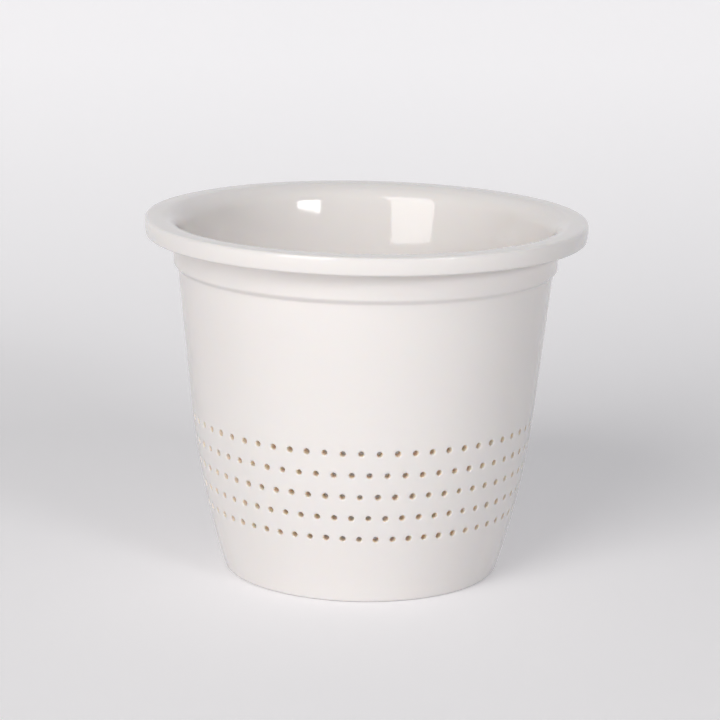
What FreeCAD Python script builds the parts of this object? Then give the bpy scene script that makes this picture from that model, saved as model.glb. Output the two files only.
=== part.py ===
# Infuser basket of a porcelain tea mug, a single cast and glazed piece.
# It hangs in the mug by its rim flange, or stands on its own foot ring.
# The origin is the middle of the foot, on the table, with +Z up through the mouth.
import FreeCAD, Part
import Sketcher
import math
import os

# Driving dimensions: millimetres, degrees and counts
SIZES = {
    "TotalHeight": 71.9,
    "CollarDiameter": 77.0,
    "CollarHeight": 5.75,
    "FlangeOverhang": 5.75,
    "FlangeThickness": 3.65,
    "FlangeTopEdge": 0.6,
    "FlangeUnderEdge": 0.5,
    "CollarRoot": 0.7,
    "ShoulderStep": 0.9,
    "ShoulderHeight": 0.9,
    "ShoulderEdge": 0.9,
    "WallThickness": 2.6,
    "WallDraft": 5.9,
    "BendHeight": 34.0,
    "BendRadius": 172.0,
    "FlareHeight": 48.0,
    "FlareRadius": 170.0,
    "MouthRadius": 4.5,
    "FloorThickness": 3.0,
    "FloorCorner": 6.0,
    "FootCorner": 0.8,
    "FootRingWidth": 3.0,
    "FootRecess": 0.8,
    "RecessCorner": 0.5,
    "HoleDiameter": 1.05,
    "HolesPerRow": 61,
    "LowRowHeight": 14.0,
    "RowSpacing": 4.45,
    "AlignedRows": 3,
    "StaggeredRows": 2,
}

# Heights, radii and angles that several features share, as formulas on the sheet
BODY_TOP_RADIUS = "(Sizes.CollarDiameter / 2 - Sizes.ShoulderStep)"
BODY_TOP_HEIGHT = (
    "(Sizes.TotalHeight - Sizes.FlangeThickness - Sizes.CollarHeight - Sizes.ShoulderHeight)"
)
DRAFT = "(Sizes.WallDraft * 1 deg)"
BEND_DROP = f"({BODY_TOP_HEIGHT} - Sizes.BendHeight)"
BEND_OUTER_RADIUS = f"({BODY_TOP_RADIUS} - {BEND_DROP} * tan({DRAFT}))"
BEND_INNER_RADIUS = f"({BEND_OUTER_RADIUS} - Sizes.WallThickness * cos({DRAFT}))"
BEND_INNER_HEIGHT = f"(Sizes.BendHeight + Sizes.WallThickness * sin({DRAFT}))"

TOLERANCE = 1e-4
CUT_MARGIN = 2.0

doc = FreeCAD.newDocument("InfuserBasket")
sheet = doc.addObject("Spreadsheet::Sheet", "Sizes")
for row, (name, value) in enumerate(SIZES.items(), start=1):
    sheet.set(f"A{row}", name)
    sheet.set(f"B{row}", str(value))
    sheet.setAlias(f"B{row}", name)
doc.recompute()


def origin_item(body, role):
    return next(item for item in body.Origin.OriginFeatures if item.Role == role)


def upright_sketch(body, name):
    """A sketch in the upright plane through the axis: its X is the radius, its Y the height."""
    sketch = body.newObject("Sketcher::SketchObject", name)
    sketch.AttachmentSupport = [(origin_item(body, "XZ_Plane"), "")]
    sketch.MapMode = "FlatFace"
    return sketch


def add_chain(sketch, points, arcs, smooth):
    """A closed chain of lines through the points.

    The sides in arcs bulge away from the axis (1) or towards it (-1), and each side in smooth
    runs on into the next without a corner.
    """
    count = len(points)
    for side in range(count):
        start = FreeCAD.Vector(*points[side], 0)
        end = FreeCAD.Vector(*points[(side + 1) % count], 0)
        if side in arcs:
            middle = (start + end) / 2 + FreeCAD.Vector(arcs[side], 0, 0)
            sketch.addGeometry(Part.Arc(start, middle, end), False)
        else:
            sketch.addGeometry(Part.LineSegment(start, end), False)
    for side in range(count):
        following = (side + 1) % count
        joint = "Tangent" if side in smooth else "Coincident"
        # An arc is kept anticlockwise, so one that bulges towards the axis runs downwards
        leaves_by = 1 if arcs.get(side) == -1 else 2
        enters_by = 2 if arcs.get(following) == -1 else 1
        sketch.addConstraint(Sketcher.Constraint(joint, side, leaves_by, following, enters_by))


def add_size(sketch, name, formula, kind, *where):
    """A named dimension of the sketch, driven by a formula on the sheet."""
    measured = {"Radius": 170.0, "Angle": 1.47}.get(kind)
    if measured is None:
        points = [sketch.getPoint(*where[i:i + 2]) for i in range(0, len(where), 2)]
        across = points[-1] - (points[0] if len(points) > 1 else FreeCAD.Vector())
        measured = across.x if kind == "DistanceX" else across.y
    index = sketch.addConstraint(Sketcher.Constraint(kind, *where, measured))
    sketch.renameConstraint(index, name)
    sketch.setExpression(f"Constraints.{name}", formula)


def ring_edges(shape, height, pick):
    """The round edge about the axis at a height: pick is min for the innermost, max the outermost."""
    rings = []
    for number, edge in enumerate(shape.Edges, start=1):
        curve = edge.Curve
        on_axis = isinstance(curve, Part.Circle) and math.hypot(*curve.Center[:2]) < TOLERANCE
        if on_axis and abs(curve.Center.z - height) < TOLERANCE:
            rings.append((curve.Radius, f"Edge{number}"))
    return pick(rings)[1]


def add_fillet(body, name, edges, radius):
    base = body.Tip
    fillet = body.newObject("PartDesign::Fillet", name)
    fillet.Base = (base, edges)
    fillet.setExpression("Radius", radius)
    doc.recompute()
    return fillet


# The outer form: foot ring, bent lower wall, straight drafted wall, shoulder, collar and flange
basket = doc.addObject("PartDesign::Body", "InfuserBasket")
basket.Label = "infuser_basket"
form = upright_sketch(basket, "FormSketch")
bend_outer = form.evalExpression(BEND_OUTER_RADIUS)
top_height = form.evalExpression(BODY_TOP_HEIGHT)
body_top = form.evalExpression(BODY_TOP_RADIUS)
collar = SIZES["CollarDiameter"] / 2
rim = collar + SIZES["FlangeOverhang"]
flange_height = SIZES["TotalHeight"] - SIZES["FlangeThickness"]
foot = bend_outer - SIZES["BendHeight"] * 0.2
ring_inner = foot - SIZES["FootCorner"] - SIZES["FootRingWidth"]
add_chain(
    form,
    [
        (foot, 0),
        (bend_outer, SIZES["BendHeight"]),
        (body_top, top_height),
        (collar, top_height + SIZES["ShoulderHeight"]),
        (collar, flange_height),
        (rim, flange_height),
        (rim, SIZES["TotalHeight"]),
        (0, SIZES["TotalHeight"]),
        (0, SIZES["FootRecess"]),
        (ring_inner, SIZES["FootRecess"]),
        (ring_inner, 0),
    ],
    arcs={0: 1},
    smooth=[0],
)
WALL, DRAFTED, SHOULDER, COLLAR, UNDER, RIM, TOP, AXIS, RECESS, RING, FOOT = range(11)
for side in (COLLAR, RIM, AXIS, RING):
    form.addConstraint(Sketcher.Constraint("Vertical", side))
for side in (UNDER, TOP, RECESS, FOOT):
    form.addConstraint(Sketcher.Constraint("Horizontal", side))
form.addConstraint(Sketcher.Constraint("PointOnObject", AXIS, 1, -2))
add_size(form, "BendRadius", "Sizes.BendRadius", "Radius", WALL)
add_size(form, "Draft", f"90 deg - {DRAFT}", "Angle", DRAFTED)
add_size(form, "BendHeight", "Sizes.BendHeight", "DistanceY", -1, 1, WALL, 2)
add_size(form, "ShoulderStep", "Sizes.ShoulderStep", "DistanceX", DRAFTED, 2, COLLAR, 1)
add_size(form, "ShoulderHeight", "Sizes.ShoulderHeight", "DistanceY", DRAFTED, 2, COLLAR, 1)
add_size(form, "CollarRadius", "Sizes.CollarDiameter / 2", "DistanceX", -1, 1, COLLAR, 1)
add_size(form, "CollarHeight", "Sizes.CollarHeight", "DistanceY", COLLAR, 1, COLLAR, 2)
add_size(form, "FlangeOverhang", "Sizes.FlangeOverhang", "DistanceX", UNDER, 1, UNDER, 2)
add_size(form, "FlangeThickness", "Sizes.FlangeThickness", "DistanceY", RIM, 1, RIM, 2)
add_size(form, "TotalHeight", "Sizes.TotalHeight", "DistanceY", -1, 1, RIM, 2)
add_size(form, "FootRecess", "Sizes.FootRecess", "DistanceY", RING, 2, RING, 1)
add_size(form, "RingWidth", "Sizes.FootRingWidth + Sizes.FootCorner", "DistanceX", FOOT, 1, FOOT, 2)
form.addConstraint(Sketcher.Constraint("PointOnObject", FOOT, 1, -1))
doc.recompute()

turned = basket.newObject("PartDesign::Revolution", "Form")
turned.Profile = form
turned.ReferenceAxis = (origin_item(basket, "Z_Axis"), [""])
doc.recompute()
form_volume = turned.Shape.Volume

# The hollow: its wall keeps one thickness from the outer form, then flares out to the mouth
hollow = upright_sketch(basket, "HollowSketch")
bend_inner = hollow.evalExpression(BEND_INNER_RADIUS)
bend_inner_height = hollow.evalExpression(BEND_INNER_HEIGHT)
mouth_height = SIZES["TotalHeight"] + CUT_MARGIN
floor_radius = bend_inner - (bend_inner_height - SIZES["FloorThickness"]) * 0.2
flare_radius = bend_inner + (SIZES["FlareHeight"] - bend_inner_height) * 0.1
mouth_radius = flare_radius + (mouth_height - SIZES["FlareHeight"]) * 0.17
add_chain(
    hollow,
    [
        (floor_radius, SIZES["FloorThickness"]),
        (bend_inner, bend_inner_height),
        (flare_radius, SIZES["FlareHeight"]),
        (mouth_radius, mouth_height),
        (0, mouth_height),
        (0, SIZES["FloorThickness"]),
    ],
    arcs={0: 1, 2: -1},
    smooth=[0, 1],
)
WALL, DRAFTED, FLARE, TOP, AXIS, FLOOR = range(6)
hollow.addConstraint(Sketcher.Constraint("Vertical", AXIS))
hollow.addConstraint(Sketcher.Constraint("Horizontal", TOP))
hollow.addConstraint(Sketcher.Constraint("Horizontal", FLOOR))
hollow.addConstraint(Sketcher.Constraint("PointOnObject", AXIS, 1, -2))
add_size(hollow, "BendRadius", "Sizes.BendRadius - Sizes.WallThickness", "Radius", WALL)
add_size(hollow, "Draft", f"90 deg - {DRAFT}", "Angle", DRAFTED)
add_size(hollow, "BendHeight", BEND_INNER_HEIGHT, "DistanceY", -1, 1, WALL, 2)
add_size(hollow, "BendAt", BEND_INNER_RADIUS, "DistanceX", -1, 1, WALL, 2)
add_size(hollow, "FloorThickness", "Sizes.FloorThickness", "DistanceY", -1, 1, WALL, 1)
add_size(hollow, "FlareHeight", "Sizes.FlareHeight", "DistanceY", -1, 1, DRAFTED, 2)
add_size(hollow, "FlareRadius", "Sizes.FlareRadius", "Radius", FLARE)
add_size(hollow, "MouthHeight", f"Sizes.TotalHeight + {CUT_MARGIN}", "DistanceY", -1, 1, FLARE, 1)
doc.recompute()

hollowed = basket.newObject("PartDesign::Groove", "Hollow")
hollowed.Profile = hollow
hollowed.ReferenceAxis = (origin_item(basket, "Z_Axis"), [""])
doc.recompute()
hollow_volume = hollowed.Shape.Volume
if not hollow_volume < 0.5 * form_volume:
    raise RuntimeError("The hollow did not cut the form.")

# Edges softened by the glaze, each from the last shape's own rings
top_z = SIZES["TotalHeight"]
softened = [
    ("MouthEdge", top_z, min, "Sizes.MouthRadius"),
    ("FlangeTopEdge", top_z, max, "Sizes.FlangeTopEdge"),
    ("FlangeUnderEdge", flange_height, max, "Sizes.FlangeUnderEdge"),
    ("CollarRoot", flange_height, min, "Sizes.CollarRoot"),
    ("CollarEdge", top_height + SIZES["ShoulderHeight"], max, "Sizes.ShoulderEdge"),
    ("ShoulderRoot", top_height, max, "Sizes.ShoulderEdge"),
    ("FloorCorner", SIZES["FloorThickness"], max, "Sizes.FloorCorner"),
    ("FootCorner", 0.0, max, "Sizes.FootCorner"),
    ("RingInnerEdge", 0.0, min, "Sizes.RecessCorner"),
]
for name, height, pick, radius in softened:
    add_fillet(basket, name, [ring_edges(basket.Tip.Shape, height, pick)], radius)
solid_volume = basket.Tip.Shape.Volume


# Radial holes: one upright line of the aligned rows and one, half a pitch on, of the staggered rows.
# The drills start inside the hollow, clear of the wall and of each other.
DRILL_START = "(Sizes.CollarDiameter / 2 * 0.7)"
HALF_PITCH = "(180 / Sizes.HolesPerRow * 1 deg)"


def add_hole_line(name, first_row, rows, turn):
    """Holes above each other through the wall, two row spacings apart, facing the front."""
    sketch = upright_sketch(basket, f"{name}Sketch")
    turned_front = FreeCAD.Rotation(FreeCAD.Vector(0, 1, 0), 1.0)
    sketch.AttachmentOffset = FreeCAD.Placement(FreeCAD.Vector(), turned_front)
    sketch.setExpression("AttachmentOffset.Rotation.Angle", turn)
    sketch.setExpression("AttachmentOffset.Base.x", f"{DRILL_START} * sin({turn})")
    sketch.setExpression("AttachmentOffset.Base.z", f"{DRILL_START} * cos({turn})")
    for hole in range(rows):
        row = first_row + 2 * hole
        height = f"Sizes.LowRowHeight + {row} * Sizes.RowSpacing"
        centre = FreeCAD.Vector(0, sketch.evalExpression(height), 0)
        circle = Part.Circle(centre, FreeCAD.Vector(0, 0, 1), SIZES["HoleDiameter"] / 2)
        sketch.addGeometry(circle, False)
        sketch.addConstraint(Sketcher.Constraint("PointOnObject", hole, 3, -2))
        add_size(sketch, f"Row{row}Height", height, "DistanceY", -1, 1, hole, 3)
        index = sketch.addConstraint(Sketcher.Constraint("Diameter", hole, SIZES["HoleDiameter"]))
        sketch.renameConstraint(index, f"Row{row}Hole")
        sketch.setExpression(f"Constraints.Row{row}Hole", "Sizes.HoleDiameter")
    line = basket.newObject("PartDesign::Pocket", name)
    line.Profile = sketch
    line.Type = "Length"
    line.Reversed = True
    line.Refine = False
    line.setExpression("Length", f"{BODY_TOP_RADIUS} - {DRILL_START}")
    doc.recompute()
    return line


aligned = add_hole_line("AlignedHoles", 0, SIZES["AlignedRows"], "0 deg")
staggered = add_hole_line("StaggeredHoles", 1, SIZES["StaggeredRows"], HALF_PITCH)
around = basket.newObject("PartDesign::PolarPattern", "HolesAround")
around.Originals = [aligned, staggered]
around.Axis = (origin_item(basket, "Z_Axis"), [""])
around.Angle = 360.0
around.Refine = False
around.setExpression("Occurrences", "Sizes.HolesPerRow")
basket.Tip = around
doc.recompute()

# The finished piece is written only if every feature and the solid itself are sound
failed = [item.Name for item in doc.Objects if {"Invalid", "Error"} & set(item.State)]
if failed:
    raise RuntimeError(f"These features failed: {failed}")
if not around.Shape.Volume < solid_volume - 0.5 * SIZES["HolesPerRow"]:
    raise RuntimeError("The holes did not cut the wall.")
shape = basket.Shape
if shape.isNull() or len(shape.Solids) != 1 or not shape.isValid():
    raise RuntimeError("The basket is not one valid solid.")
os.makedirs("parts", exist_ok=True)
shape.exportStep(f"parts/{basket.Label}.step")
box = shape.optimalBoundingBox(False, False)
print(f"{basket.Label}: {box.XLength:.2f} x {box.YLength:.2f} x {box.ZLength:.2f} mm")
print(f"volume {shape.Volume:.0f} mm3, faces {len(shape.Faces)}")
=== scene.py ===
import math
import random
import bmesh
import bpy
from mathutils import Matrix, Vector, noise


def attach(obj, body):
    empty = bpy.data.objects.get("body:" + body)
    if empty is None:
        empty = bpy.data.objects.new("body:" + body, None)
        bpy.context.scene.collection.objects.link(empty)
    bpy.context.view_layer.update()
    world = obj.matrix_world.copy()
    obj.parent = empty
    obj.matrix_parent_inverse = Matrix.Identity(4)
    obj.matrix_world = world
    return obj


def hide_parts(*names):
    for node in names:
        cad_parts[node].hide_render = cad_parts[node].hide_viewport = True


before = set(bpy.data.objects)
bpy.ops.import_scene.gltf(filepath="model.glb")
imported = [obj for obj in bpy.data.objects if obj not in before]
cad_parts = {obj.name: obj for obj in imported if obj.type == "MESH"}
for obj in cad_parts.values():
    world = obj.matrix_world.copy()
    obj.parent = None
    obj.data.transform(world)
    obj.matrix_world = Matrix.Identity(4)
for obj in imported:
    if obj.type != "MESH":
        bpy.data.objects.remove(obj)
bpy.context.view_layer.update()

mm = 0.001
clayTint = (1.0, 0.8, 0.6)  # red light goes furthest into porcelain, blue least


def linear(hexColour):  # sRGB hex to the linear values that the shaders take
    values = [int(hexColour[i:i + 2], 16) / 255 for i in (1, 3, 5)]
    values = [v / 12.92 if v <= 0.04045 else ((v + 0.055) / 1.055) ** 2.4 for v in values]
    return (*values, 1.0)


def newMaterial(name):
    material = bpy.data.materials.new(name)
    material.use_nodes = True
    material.node_tree.nodes.clear()
    return material, material.node_tree


def addNode(tree, kind, settings=None, inputs=None, links=None):
    node = tree.nodes.new(kind)
    for key, value in (settings or {}).items():
        setattr(node, key, value)
    for key, value in (inputs or {}).items():
        node.inputs[key].default_value = value
    for key, socket in (links or {}).items():
        tree.links.new(socket, node.inputs[key])
    return node


glaze = {
    "colour": "#FBF6F4",
    "roughness": 0.06,
    "ior": 1.5,
    "depthMm": 1.6,        # how far light spreads in the thin porcelain
    "depthShare": 0.25,
    "waveMm": 14.0,        # slow swell left by the mould and the running glaze
    "waveHeight": 0.04,
    "peelMm": 1.1,         # fine orange peel of the fired glaze
    "peelHeight": 0.004,
}


def glazedPorcelain():
    # slip-cast porcelain under a clear feldspar glaze: warm white with a soft clear shine,
    # and light glows in its thin walls
    material, tree = newMaterial("glazedPorcelain")
    place = addNode(tree, "ShaderNodeTexCoord").outputs["Object"]
    swell = addNode(
        tree, "ShaderNodeTexNoise",
        inputs={"Scale": 1 / (glaze["waveMm"] * mm), "Detail": 1.0},
        links={"Vector": place},
    )
    peel = addNode(
        tree, "ShaderNodeTexNoise",
        inputs={"Scale": 1 / (glaze["peelMm"] * mm), "Detail": 0.0},
        links={"Vector": place},
    )
    wavy = addNode(
        tree, "ShaderNodeBump",
        inputs={"Strength": 1.0, "Distance": glaze["waveHeight"] * mm},
        links={"Height": swell.outputs["Fac"]},
    )
    pored = addNode(
        tree, "ShaderNodeBump",
        inputs={"Strength": 1.0, "Distance": glaze["peelHeight"] * mm},
        links={"Height": peel.outputs["Fac"], "Normal": wavy.outputs["Normal"]},
    )
    shader = addNode(
        tree, "ShaderNodeBsdfPrincipled",
        inputs={
            "Base Color": linear(glaze["colour"]),
            "Roughness": glaze["roughness"],
            "IOR": glaze["ior"],
            "Subsurface Weight": glaze["depthShare"],
            "Subsurface Radius": clayTint,
            "Subsurface Scale": glaze["depthMm"] * mm,
        },
        links={"Normal": pored.outputs["Normal"]},
    )
    addNode(tree, "ShaderNodeOutputMaterial", links={"Surface": shader.outputs["BSDF"]})
    return material


biscuitAndGlow = {
    # creamier than the glaze: partly the bare clay's tone, partly painted glow of light through the thin
    # walls
    "colour": "#F5E8D9",
    "roughness": 0.75,
    "depthMm": 1.8,        # lit from within where the wall beside a hole is bright
    "depthShare": 0.6,
    "grainMm": 0.35,
    "grainHeight": 0.03,
}


def unglazedBiscuitAndGlow():
    # bare clay where the foot ring is wiped and the holes are blown clear before firing:
    # dry and matt; its creamier colour is partly the clay's own and partly painted glow, standing in for
    # warm light shining through the thin walls in the holes
    material, tree = newMaterial("unglazedBiscuitAndGlow")
    place = addNode(tree, "ShaderNodeTexCoord").outputs["Object"]
    clayGrain = addNode(
        tree, "ShaderNodeTexNoise",
        inputs={"Scale": 1 / (biscuitAndGlow["grainMm"] * mm), "Detail": 3.0},
        links={"Vector": place},
    )
    rough = addNode(
        tree, "ShaderNodeBump",
        inputs={"Strength": 1.0, "Distance": biscuitAndGlow["grainHeight"] * mm},
        links={"Height": clayGrain.outputs["Fac"]},
    )
    shader = addNode(
        tree, "ShaderNodeBsdfPrincipled",
        inputs={
            "Base Color": linear(biscuitAndGlow["colour"]),
            "Roughness": biscuitAndGlow["roughness"],
            "Subsurface Weight": biscuitAndGlow["depthShare"],
            "Subsurface Radius": clayTint,
            "Subsurface Scale": biscuitAndGlow["depthMm"] * mm,
        },
        links={"Normal": rough.outputs["Normal"]},
    )
    addNode(tree, "ShaderNodeOutputMaterial", links={"Surface": shader.outputs["BSDF"]})
    return material


# The basket, all sizes in millimetres
basket = {
    "height": 71.9,
    "collar": 38.5,        # radius
    "collarTall": 5.75,
    "collarRoot": 0.7,     # rounding between the collar and the flange
    "overhang": 5.75,      # the flange beyond the collar
    "flange": 3.65,        # thickness
    "topEdge": 0.6,        # rounding
    "underEdge": 0.5,
    "step": 0.9,           # the shoulder, where the body is narrower than the collar
    "stepTall": 0.9,
    "stepEdge": 0.9,
    "wall": 2.6,
    "draft": 5.9,          # degrees
    "bendUp": 34.0,        # below this the wall curves in to the foot
    "bend": 172.0,         # radius
    "floor": 3.0,
    "floorCorner": 6.0,
    "recess": 0.8,         # under the floor, inside the foot ring
    "recessCorner": 0.5,
    "ringInside": 24.0,    # radius
    "footCorner": 0.8,
    "flareUp": 48.0,       # from here the inside opens out towards the mouth
    "flare": 170.0,        # radius
    "mouthUp": 66.5,       # the inside's last point under the rounded mouth
    "mouth": 4.5,          # rounding
    "bandMiddle": 1.9,     # up the flange's edge, where it bulges
}

hand = {                   # what makes each one a little different, in mm or as a share
    "seed": 31,
    "warp": 0.09,
    "warpUp": 0.8,         # share of the warp that is up and down
    "warpWave": 45.0,
    "warpPlace": (3, 7, 1),
    "warpFull": 12.0,      # height where the kiln's warp is at its full: it hardly moves the foot
    "bandBulge": 0.03,
    "bandLean": 0.2,
    "holeSize": 0.06,
    "holeSlip": 0.05,
}

holes = {
    "across": 1.05,
    "round": 61,
    "rows": 5,
    "lowest": 14.0,
    "apart": 4.45,
    "turn": -0.05,         # of one spacing
    "lip": 0.28,           # glaze rolls into each hole over this
    "lipOut": 0.35,        # share of the lip that is left, out from the hole, where it is this far in
    "lipIn": 0.3,
    "lipStart": 0.02,      # how far in the lip begins
    "margin": 0.45,        # plain wall that is kept round the lip
    "deep": (0.36, 0.66),  # two more rings of points down the hole, as shares of the wall
    "corners": 8,
    "smoothing": 1.1,      # a ring of eight points shrinks a tenth when it is smoothed
}

grain = {                  # mm between two rings of points
    "foot": 0.5,
    "lowWall": 2.4,
    "highWall": 3.0,
    "rim": 0.45,
    "mouth": 2.5,
    "floor": 1.2,
}

loops = {                  # rings of points that only keep the mesh even, in mm
    "middle": 1.5,         # radius of the smallest, round the middle of the floor
    "floor": 12.0,         # radius
    "aboveFoot": 4.0,      # heights
    "aboveFloor": 9.0,
    "belowStep": 1.2,
}

glazed, bare = 0, 1        # the two materials of the mesh
wiped = 0.05               # mm: what is lower than this stands on the table and is wiped bare
bareRings = range(3, 7)    # the strips down each hole that the glaze doesn't reach; their creamier colour is also painted glow of light through the thin walls

columns = 2 * holes["round"]  # one at each hole and one between
draft = math.radians(basket["draft"])
bodyTop = basket["collar"] - basket["step"]
flangeLow = basket["height"] - basket["flange"]
collarLow = flangeLow - basket["collarTall"]
bodyHigh = collarLow - basket["stepTall"]
bendOut = bodyTop - (bodyHigh - basket["bendUp"]) * math.tan(draft)
bendRadius = bendOut - basket["bend"] * math.cos(draft)
bendHeight = basket["bendUp"] + basket["bend"] * math.sin(draft)


def wallRadius(z, depth=0.0):  # radius of the wall at a height, depth mm in from its outside
    if z > basket["bendUp"] + depth * math.sin(draft):
        return bodyTop - (bodyHigh - z) * math.tan(draft) - depth / math.cos(draft)
    reach = basket["bend"] - depth
    return bendRadius + math.sqrt(reach * reach - (z - bendHeight) ** 2)


def insideRadius(z):
    if z <= basket["flareUp"]:
        return wallRadius(z, basket["wall"])
    lean = math.asin(math.sin(draft) + (z - basket["flareUp"]) / basket["flare"])
    start = wallRadius(basket["flareUp"], basket["wall"])
    return start + basket["flare"] * (math.cos(draft) - math.cos(lean))


def rounded(corners, spacing):  # corners are (radius, height, rounding); each is turned by an arc
    fewest, smallTurn = 3, 0.1
    points = []
    for i, (r, z, rounding) in enumerate(corners):
        here = Vector((r, z))
        if rounding == 0 or i in (0, len(corners) - 1):
            points.append(here)
            continue
        back = (Vector(corners[i - 1][:2]) - here).normalized()
        ahead = (Vector(corners[i + 1][:2]) - here).normalized()
        half = back.angle(ahead) / 2
        run = rounding / math.tan(half)
        centre = here + (back + ahead).normalized() * (rounding / math.sin(half))
        start, end = here + back * run, here + ahead * run
        arc = math.pi - 2 * half
        steps = max(fewest, round(rounding * arc / spacing))
        for k in range(steps + 1):
            ray = (start - centre).lerp(end - centre, k / steps)
            if arc > smallTurn:
                a = math.sin((1 - k / steps) * arc) / math.sin(arc)
                b = math.sin(k / steps * arc) / math.sin(arc)
                ray = (start - centre) * a + (end - centre) * b
            points.append(centre + ray.normalized() * rounding)
    return points


def heights(low, high, spacing):  # even steps between two heights, both ends included
    count = max(1, round((high - low) / spacing))
    return [low + (high - low) * k / count for k in range(count + 1)]


def buildBasket():
    mesh = bmesh.new()
    rng = random.Random(hand["seed"])
    noise.seed_set(hand["seed"])  # without this the warp would differ from run to run
    step = 2 * math.pi / columns
    start = -math.pi / 2 + 2 * holes["turn"] * step

    def put(r, z, column, aside=0.0):  # aside is a straight offset in mm, across the column's direction
        angle = start + column * step + (math.asin(aside / r) if r > 1 else 0)
        spot = Vector((r * math.cos(angle), r * math.sin(angle), z))
        share = min(1, max(0, z / hand["warpFull"]))
        warp = noise.noise_vector(spot / hand["warpWave"] + Vector(hand["warpPlace"]))
        spot += Vector((warp.x, warp.y, warp.z * hand["warpUp"])) * hand["warp"] * share
        return mesh.verts.new(spot * mm)

    def ring(r, z):
        return [put(r, z, c) for c in range(columns)]

    def bridge(one, two, finish=glazed):
        count = len(one)
        for k in range(count):
            n = (k + 1) % count
            mesh.faces.new((one[k], one[n], two[n], two[k])).material_index = finish

    def cap(loop, z, up):
        middle = mesh.verts.new((0, 0, z * mm))
        for k in range(columns):
            n = (k + 1) % columns
            mesh.faces.new((loop[k], loop[n], middle) if up else (loop[n], loop[k], middle))

    def patch(lower, side, upper, c):  # eight points of wall round the hole in this column
        left, right = (c - 1) % columns, (c + 1) % columns
        return [
            lower[left], lower[c], lower[right], side[right],
            upper[right], upper[c], upper[left], side[left],
        ]

    bandLow = holes["lowest"] - holes["apart"] / 2
    bandHigh = bandLow + holes["rows"] * holes["apart"]
    rim = basket["collar"] + basket["overhang"]
    depth = basket["wall"]

    # outside, from the middle of the underside up to the holes
    foot = rounded([
        (loops["middle"], basket["recess"], 0),
        (loops["floor"], basket["recess"], 0),
        (basket["ringInside"], basket["recess"], basket["recessCorner"]),
        (basket["ringInside"], 0, basket["recessCorner"]),
        (wallRadius(0), 0, basket["footCorner"]),
        (wallRadius(loops["aboveFoot"]), loops["aboveFoot"], 0),
    ], grain["foot"])
    outside = [(p.x, p.y) for p in foot]
    outside += [(wallRadius(z), z) for z in heights(loops["aboveFoot"], bandLow, grain["lowWall"])[1:]]
    rings = [ring(*p) for p in outside]
    cap(rings[0], basket["recess"], False)
    for a, b, p, q in zip(rings, rings[1:], outside, outside[1:]):
        bridge(a, b, bare if p[1] < wiped and q[1] < wiped else glazed)
    lowOut = rings[-1]

    # from the holes up over the rim and down inside, to the holes again
    upper = [(wallRadius(z), z) for z in heights(bandHigh, bodyHigh - loops["belowStep"], grain["highWall"])]
    corners = [
        (*upper[-1], 0),
        (bodyTop, bodyHigh, basket["stepEdge"]),
        (basket["collar"], collarLow, basket["stepEdge"]),
        (basket["collar"], flangeLow, basket["collarRoot"]),
        (rim - hand["bandLean"], flangeLow, basket["underEdge"]),
        (rim + hand["bandBulge"], flangeLow + basket["bandMiddle"], 0),
        (rim, basket["height"], basket["topEdge"]),
        (insideRadius(basket["height"]), basket["height"], basket["mouth"]),
        (insideRadius(basket["mouthUp"]), basket["mouthUp"], 0),
    ]
    over = upper[:-1] + [(p.x, p.y) for p in rounded(corners, grain["rim"])]
    mouth = heights(bandHigh, basket["mouthUp"], grain["mouth"])
    over += [(insideRadius(z), z) for z in reversed(mouth[:-1])]
    rings = [ring(*p) for p in over]
    for a, b in zip(rings, rings[1:]):
        bridge(a, b)
    highOut, highIn = rings[0], rings[-1]

    # inside, from the holes down to the middle of the floor
    lowWall = heights(loops["aboveFloor"], bandLow, grain["lowWall"])
    inner = [(wallRadius(z, depth), z) for z in reversed(lowWall)]
    inner += [(p.x, p.y) for p in rounded([
        (*inner[-1], 0),
        (wallRadius(basket["floor"], depth), basket["floor"], basket["floorCorner"]),
        (loops["floor"], basket["floor"], 0),
        (loops["middle"], basket["floor"], 0),
    ], grain["floor"])[1:]]
    rings = [ring(*p) for p in inner]
    for a, b in zip(rings, rings[1:]):
        bridge(a, b)
    cap(rings[-1], basket["floor"], True)
    lowIn = rings[0]

    # down one hole: points (out from its axis, in from the wall's face), from the outside to the inside
    hole = holes["across"] / 2 * holes["smoothing"]
    lip = holes["lip"]
    entry = [
        (hole + lip + holes["margin"], 0.0),
        (hole + lip, holes["lipStart"]),
        (hole + lip * holes["lipOut"], lip * holes["lipIn"]),
        (hole, lip),
    ]
    bore = entry + [(hole, depth * share) for share in holes["deep"]]
    bore += [(reach, depth - deep) for reach, deep in reversed(entry)]

    # the rows: each hole has its own patch of wall, one hole spacing wide, outside and inside
    lowerOut, lowerIn = lowOut, lowIn
    for row in range(holes["rows"]):
        middle = holes["lowest"] + row * holes["apart"]
        top = middle + holes["apart"] / 2
        last = row == holes["rows"] - 1
        upperOut = highOut if last else ring(wallRadius(top), top)
        upperIn = highIn if last else ring(wallRadius(top, depth), top)
        first = row % 2
        between = range(1 - first, columns, 2)
        sideOut = {c: put(wallRadius(middle), middle, c) for c in between}
        sideIn = {c: put(wallRadius(middle, depth), middle, c) for c in between}
        for c in range(first, columns, 2):
            size = 1 + rng.uniform(-1, 1) * hand["holeSize"]
            slipX, slipZ = (rng.uniform(-1, 1) * hand["holeSlip"] for _ in range(2))
            strips = [patch(lowerOut, sideOut, upperOut, c)]
            for reach, deep in bore:
                circle = []
                for k in range(holes["corners"]):
                    turn = math.radians(-135 + 360 / holes["corners"] * k)
                    z = middle + slipZ + reach * size * math.sin(turn)
                    circle.append(put(wallRadius(z, deep), z, c, slipX + reach * size * math.cos(turn)))
                strips.append(circle)
            strips.append(patch(lowerIn, sideIn, upperIn, c))
            for k, (a, b) in enumerate(zip(strips, strips[1:])):
                bridge(a, b, bare if k in bareRings else glazed)
        lowerOut, lowerIn = upperOut, upperIn

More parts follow.
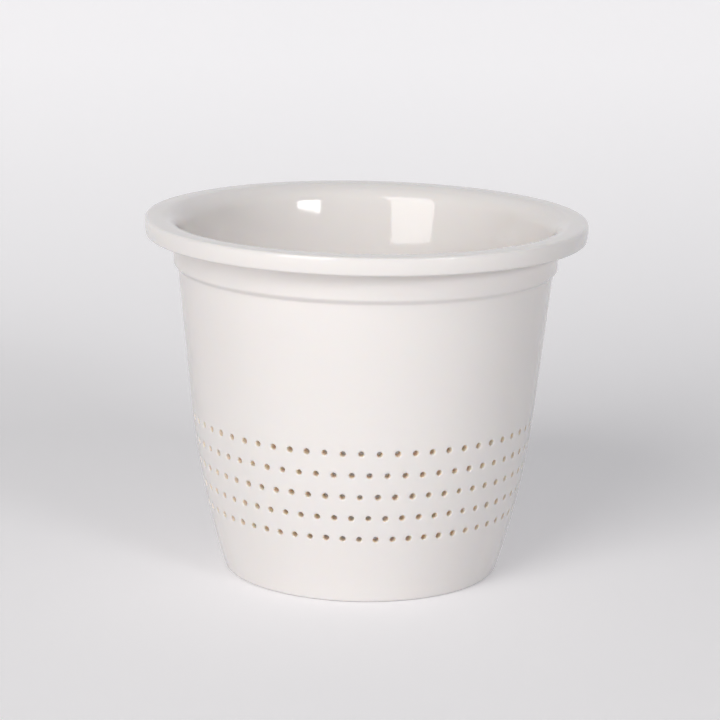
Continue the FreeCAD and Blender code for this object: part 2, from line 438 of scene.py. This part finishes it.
    data = bpy.data.meshes.new("infuserBasket")
    mesh.to_mesh(data)
    mesh.free()
    data.polygons.foreach_set("use_smooth", [True] * len(data.polygons))
    piece = bpy.data.objects.new("infuserBasket", data)
    bpy.context.scene.collection.objects.link(piece)
    data.materials.append(glazedPorcelain())
    data.materials.append(unglazedBiscuitAndGlow())
    smooth = piece.modifiers.new("glazeFlow", "SUBSURF")
    smooth.levels = smooth.render_levels = 2
    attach(piece, "root")
    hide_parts("infuser_basket")
    return piece


infuser = buildBasket()
print("basket:", len(infuser.data.vertices), "points before smoothing")

# The studio: a pale sweep, soft lamps and the camera
sweep = {                  # metres
    "colour": "#E8E7E9",
    "glow": (0.28, 0.52),  # painted light: a glow that only the eye and reflections see, under the basket and up behind it
    "glowFrom": 0.10,      # from the basket's middle along the sheet
    "glowTo": 0.36,
    "wide": 3.0,
    "front": -1.4,
    "flatPoints": (-0.5, 0.0),
    "bendStart": 0.10,
    "bendRound": 0.55,
    "bendSteps": 24,
    "tall": 1.7,
}


def paperSweep():
    # matt pale grey background paper, one plain sheet that runs under the basket and up behind it, with
    # painted light: a glow that brightens it for the eye and reflections, more towards the back
    bend, steps = sweep["bendRound"], sweep["bendSteps"]
    # points (back, up, along the sheet)
    line = [(y, 0.0, y) for y in (sweep["front"], *sweep["flatPoints"], sweep["bendStart"])]
    for k in range(1, steps + 1):
        turn = math.pi / 2 * k / steps
        back, up = bend * math.sin(turn), bend * (1 - math.cos(turn))
        line.append((sweep["bendStart"] + back, up, sweep["bendStart"] + bend * turn))
    line.append((line[-1][0], sweep["tall"], line[-1][2] + sweep["tall"] - bend))

    material, tree = newMaterial("backgroundPaper")
    colour = linear(sweep["colour"])
    sheetPlace = addNode(tree, "ShaderNodeTexCoord").outputs["UV"]
    along = addNode(tree, "ShaderNodeSeparateXYZ", links={"Vector": sheetPlace}).outputs["Y"]
    rise = addNode(
        tree, "ShaderNodeMapRange",
        inputs={
            "From Min": sweep["glowFrom"],
            "From Max": sweep["glowTo"],
            "To Min": sweep["glow"][0],
            "To Max": sweep["glow"][1],
        },
        links={"Value": along},
    )
    rays = addNode(tree, "ShaderNodeLightPath").outputs
    seen = rays["Is Camera Ray"]
    for other in ("Is Glossy Ray", "Is Transmission Ray"):
        links = {0: seen, 1: rays[other]}
        seen = addNode(tree, "ShaderNodeMath", {"operation": "MAXIMUM"}, links=links).outputs[0]
    lift = addNode(
        tree, "ShaderNodeMath", {"operation": "MULTIPLY"},
        links={0: seen, 1: rise.outputs["Result"]},
    )
    # painted light: the paper glows for the eye and reflections, though it is no lamp
    glow = addNode(
        tree, "ShaderNodeEmission",
        inputs={"Color": colour},
        links={"Strength": lift.outputs[0]},
    )
    paper = addNode(tree, "ShaderNodeBsdfDiffuse", inputs={"Color": colour})
    both = addNode(tree, "ShaderNodeAddShader", links={0: paper.outputs[0], 1: glow.outputs[0]})
    addNode(tree, "ShaderNodeOutputMaterial", links={"Surface": both.outputs[0]})

    half = sweep["wide"] / 2
    points = [(x, y, z) for y, z, _ in line for x in (-half, half)]
    faces = [(2 * k, 2 * k + 1, 2 * k + 3, 2 * k + 2) for k in range(len(line) - 1)]
    data = bpy.data.meshes.new("paperSweep")
    data.from_pydata(points, [], faces)
    layer = data.uv_layers.new(name="alongSheet")
    for loop in data.loops:
        layer.data[loop.index].uv = (loop.vertex_index % 2, line[loop.vertex_index // 2][2])
    data.polygons.foreach_set("use_smooth", [True] * len(faces))
    data.materials.append(material)
    sheet = bpy.data.objects.new("paperSweep", data)
    bpy.context.scene.collection.objects.link(sheet)


paperSweep()

lamps = {                  # round from the camera and up in degrees, metres away, width and height in metres
    "tallWindow": {
        "round": -31, "up": 25, "away": 1.1, "size": (0.55, 1.0), "watts": 7.6, "colour": "#FFFDFA",
    },
    "smallBox": {
        "round": 39, "up": 21, "away": 1.0, "size": (0.26, 0.2), "watts": 2.1, "colour": "#FFFFFF",
    },
}
lampsAim = Vector((0, 0, 0.05))
room = {"colour": "#F6F7FA", "strength": 0.2}


def softbox(name, lamp):
    light = bpy.data.lights.new(name, "AREA")
    light.shape = "RECTANGLE"
    light.size, light.size_y = lamp["size"]
    light.energy = lamp["watts"]
    light.color = linear(lamp["colour"])[:3]
    side, up = math.radians(lamp["round"]), math.radians(lamp["up"])
    way = Vector((math.sin(side) * math.cos(up), -math.cos(side) * math.cos(up), math.sin(up)))
    box = bpy.data.objects.new(name, light)
    box.location = way * lamp["away"] + lampsAim
    box.rotation_euler = (-way).to_track_quat("-Z", "Y").to_euler()
    bpy.context.scene.collection.objects.link(box)


def roomLight():
    world = bpy.data.worlds.new("studio")
    world.use_nodes = True
    bpy.context.scene.world = world
    background = world.node_tree.nodes["Background"].inputs
    background["Color"].default_value = linear(room["colour"])
    background["Strength"].default_value = room["strength"]


for name, lamp in lamps.items():
    softbox(name, lamp)
roomLight()
print("studio: sweep and", len(lamps), "softboxes")

camera = {
    "place": (0.0, -531.14, 165.85),  # mm
    "down": 13.0931,       # degrees
    "left": 0.083,
    "roll": 1.114,
    "lens": 134.848,       # mm, on this sensor
    "sensor": 36.0,
    "clip": 0.01,          # metres
}


def photoCamera():
    down, left, roll = (math.radians(camera[k]) for k in ("down", "left", "roll"))
    yaw = -left
    ahead = Vector((math.sin(yaw) * math.cos(down), math.cos(yaw) * math.cos(down), -math.sin(down)))
    right = Vector((math.cos(yaw), -math.sin(yaw), 0))
    up = right.cross(ahead)
    across = right * math.cos(roll) + up * math.sin(roll)
    above = up * math.cos(roll) - right * math.sin(roll)
    data = bpy.data.cameras.new("photoCamera")
    data.lens, data.sensor_width, data.clip_start = camera["lens"], camera["sensor"], camera["clip"]
    view = bpy.data.objects.new("photoCamera", data)
    turn = Matrix((across, above, -ahead)).transposed().to_4x4()
    view.matrix_world = Matrix.Translation(Vector(camera["place"]) * mm) @ turn
    bpy.context.scene.collection.objects.link(view)
    bpy.context.scene.camera = view


photoCamera()
bpy.context.scene.view_settings.view_transform = "Standard"
